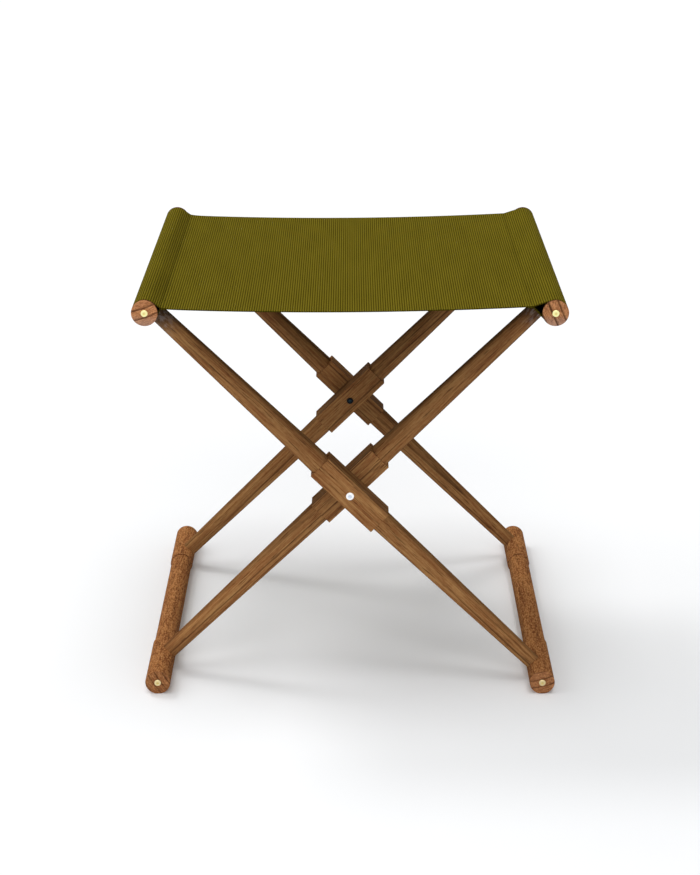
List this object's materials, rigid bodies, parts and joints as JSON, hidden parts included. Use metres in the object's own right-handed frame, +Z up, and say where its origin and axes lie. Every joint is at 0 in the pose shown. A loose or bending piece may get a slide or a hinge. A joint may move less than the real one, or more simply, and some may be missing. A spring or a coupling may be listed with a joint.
{
  "type": "folding stool",
  "caption": "Cross-leg folding stool: turned wooden rails and legs bolted at flat-sided pivot blocks, with a ribbed cloth sling seat between the top rails.",
  "frame": {"origin": "on the floor, under the middle of the stool, at the bottom centre of its box", "axes": "+X from the left rails to the right rails, +Y from the front to the back along the rails and the pivots, +Z up"},
  "size_m": [0.46, 0.4314, 0.4585],
  "materials": {
    "wood": "oiled",
    "steel": "satin",
    "dark_steel": "blackened",
    "brass": "satin",
    "cloth": "ribbed weave"
  },
  "bodies": {
    "outer_frame": {"top_rail_left": "wood", "floor_rail_right": "wood", "outer_leg_front": "wood", "outer_leg_back": "wood", "pivot_barrel_front": "steel", "pivot_barrel_back": "steel", "pivot_screw_front": "dark_steel", "pivot_screw_back": "dark_steel", "pivot_washer_front": "steel", "pivot_washer_back": "steel", "end_screw_top_left_front": "brass", "end_screw_top_left_back": "brass", "end_screw_floor_right_front": "brass", "end_screw_floor_right_back": "brass", "seat_sling": "cloth"},
    "inner_frame": {"top_rail_right": "wood", "floor_rail_left": "wood", "inner_leg_front": "wood", "inner_leg_back": "wood", "end_screw_top_right_front": "brass", "end_screw_top_right_back": "brass", "end_screw_floor_left_front": "brass", "end_screw_floor_left_back": "brass"}
  },
  "joints": [
    {"name": "fold", "type": "hinge", "parent": "outer_frame", "child": "inner_frame", "pos_m": [0, 0, 0.229], "axis": [0, -1, 0], "range_deg": [0, 82], "deforming": ["seat_sling"]}
  ]
}
